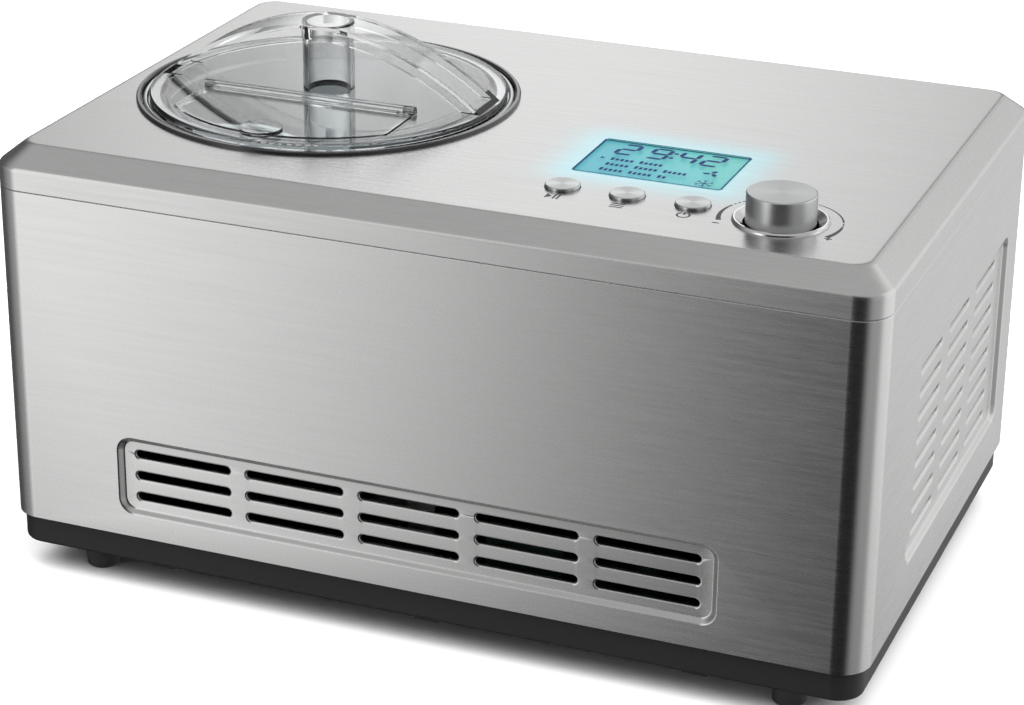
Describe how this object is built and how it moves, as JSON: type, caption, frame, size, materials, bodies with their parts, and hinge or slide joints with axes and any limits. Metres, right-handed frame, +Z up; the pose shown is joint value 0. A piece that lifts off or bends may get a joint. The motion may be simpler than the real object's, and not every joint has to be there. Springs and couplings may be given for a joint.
{
  "type": "ice cream maker",
  "caption": "Countertop ice cream maker: brushed steel box with vents, clear bridge-handled lid over a removable bowl, lit display, push buttons and a control knob.",
  "frame": {"origin": "middle of the footprint, at the height of the surface the feet stand on", "axes": "+Z up, front face and controls towards -Y, +X to the right seen from the front; longest side along X"},
  "size_m": [0.425, 0.279, 0.2532],
  "materials": {
    "steel_skin": "brushed, horizontal grain",
    "black_tray": "fine moulded grain",
    "black_plastic": "satin moulded",
    "gloss_black": "gloss",
    "foot_rubber": "matte",
    "seal_rubber": "matte",
    "zinc_screw": "zinc plated",
    "bowl_aluminium": "satin spun",
    "chamber_aluminium": "drawn",
    "copper": "drawn copper",
    "foam": "closed-cell foam",
    "machined_steel": "machined",
    "galvanised": "galvanised sheet",
    "bronze": "sintered bronze",
    "white_acetal": "acetal",
    "grey_plastic": "moulded",
    "magnet": "ferrite",
    "motor_core": "laminated core",
    "clear_plastic": "clear, polished",
    "frosted_plastic": "milky clear",
    "display_glass": "lit clear window",
    "display_body": "lit display",
    "turned_metal": "turned face",
    "polished_metal": "polished",
    "circuit_board": "solder mask",
    "compressor_black": "black enamel",
    "fin_aluminium": "thin sheet"
  },
  "bodies": {
    "housing": {"base_tray": "black_tray", "feet": "foot_rubber", "foot_screws": "zinc_screw", "body_shell": "steel_skin", "rear_panel": "steel_skin", "rear_screws": "zinc_screw", "cord_gland": "black_plastic", "top_cover": "steel_skin", "bowl_collar": "gloss_black", "cooling_chamber": "chamber_aluminium", "evaporator_coil": "copper", "chamber_insulation": "foam", "temperature_sensor": "machined_steel", "drive_frame": "galvanised", "shaft_bushings": "bronze", "shaft_seal": "seal_rubber", "gearbox_housing": "grey_plastic", "gearbox_cover": "grey_plastic", "gearbox_screws": "zinc_screw", "intermediate_axle": "machined_steel", "drive_motor": "galvanised", "motor_magnets": "magnet", "display_window": "display_glass", "display_module": "display_body", "knob_bezel": "polished_metal", "rotary_encoder": "machined_steel", "control_carrier": "black_plastic", "control_board": "circuit_board", "carrier_screws": "zinc_screw", "power_board": "circuit_board", "compressor": "compressor_black", "compressor_mounts": "foot_rubber", "mount_nuts": "zinc_screw", "terminal_box": "black_plastic", "condenser_fins": "fin_aluminium", "condenser_end_plates": "galvanised", "condenser_tube": "copper", "fan_shroud": "black_plastic", "fan_motor": "motor_core", "filter_drier": "copper", "discharge_tube": "copper", "liquid_tube": "copper", "capillary_tube": "copper", "suction_tube": "copper"},
    "output_drive": {"output_shaft": "machined_steel", "output_gear": "white_acetal"},
    "intermediate_drive": {"intermediate_gear": "white_acetal"},
    "motor_rotor": {"motor_shaft": "machined_steel", "motor_armature": "motor_core"},
    "bowl": {"ice_cream_bowl": "bowl_aluminium"},
    "paddle": {"mixing_paddle": "frosted_plastic"},
    "lid": {"lid": "clear_plastic", "hatch_hinge_pin": "machined_steel"},
    "hatch": {"refill_hatch": "clear_plastic"},
    "knob": {"control_knob": "turned_metal", "encoder_shaft": "machined_steel"},
    "start_button": {"start_button": "turned_metal"},
    "menu_button": {"menu_button": "turned_metal"},
    "power_button": {"power_button": "turned_metal"},
    "fan": {"fan_rotor": "grey_plastic"}
  },
  "joints": [
    {"name": "output_spin", "type": "hinge", "parent": "housing", "child": "output_drive", "pos_m": [-0.1015, -0.0055, 0.1], "axis": [0, 0, 1], "continuous": true},
    {"name": "intermediate_spin", "type": "hinge", "parent": "housing", "child": "intermediate_drive", "pos_m": [-0.0615, -0.0055, 0.065], "axis": [0, 0, 1], "continuous": true},
    {"name": "motor_spin", "type": "hinge", "parent": "housing", "child": "motor_rotor", "pos_m": [-0.044, -0.03581, 0.04], "axis": [0, 0, 1], "continuous": true},
    {"name": "bowl_lift", "type": "slide", "parent": "housing", "child": "bowl", "axis": [0, 0, 1], "range_m": [0, 0.13]},
    {"name": "paddle_spin", "type": "hinge", "parent": "bowl", "child": "paddle", "pos_m": [-0.1015, -0.0055, 0.15], "axis": [0, 0, 1], "continuous": true},
    {"name": "lid_lift", "type": "slide", "parent": "bowl", "child": "lid", "axis": [0, 0, 1], "range_m": [0, 0.08]},
    {"name": "hatch_hinge", "type": "hinge", "parent": "lid", "child": "hatch", "pos_m": [-0.1015, -0.0277, 0.2209], "axis": [-1, 0, 0], "range_deg": [0, 100]},
    {"name": "knob_turn", "type": "hinge", "parent": "housing", "child": "knob", "pos_m": [0.1515, -0.0889, 0.2165], "axis": [0, 0, -1], "continuous": true},
    {"name": "start_button_press", "type": "slide", "parent": "housing", "child": "start_button", "axis": [0, 0, -1], "range_m": [0, 0.0008], "stiffness_N_per_m": 1200, "springref_m": -0.0003},
    {"name": "menu_button_press", "type": "slide", "parent": "housing", "child": "menu_button", "axis": [0, 0, -1], "range_m": [0, 0.0008], "stiffness_N_per_m": 1200, "springref_m": -0.0003},
    {"name": "power_button_press", "type": "slide", "parent": "housing", "child": "power_button", "axis": [0, 0, -1], "range_m": [0, 0.0008], "stiffness_N_per_m": 1200, "springref_m": -0.0003},
    {"name": "fan_spin", "type": "hinge", "parent": "housing", "child": "fan", "pos_m": [0.15, 0.0162, 0.0875], "axis": [1, 0, 0], "continuous": true}
  ],
  "couplings": [
    {"joint": "intermediate_spin", "follows": "output_spin", "ratio": -4},
    {"joint": "motor_spin", "follows": "output_spin", "ratio": 16},
    {"joint": "paddle_spin", "follows": "output_spin", "ratio": 1}
  ]
}
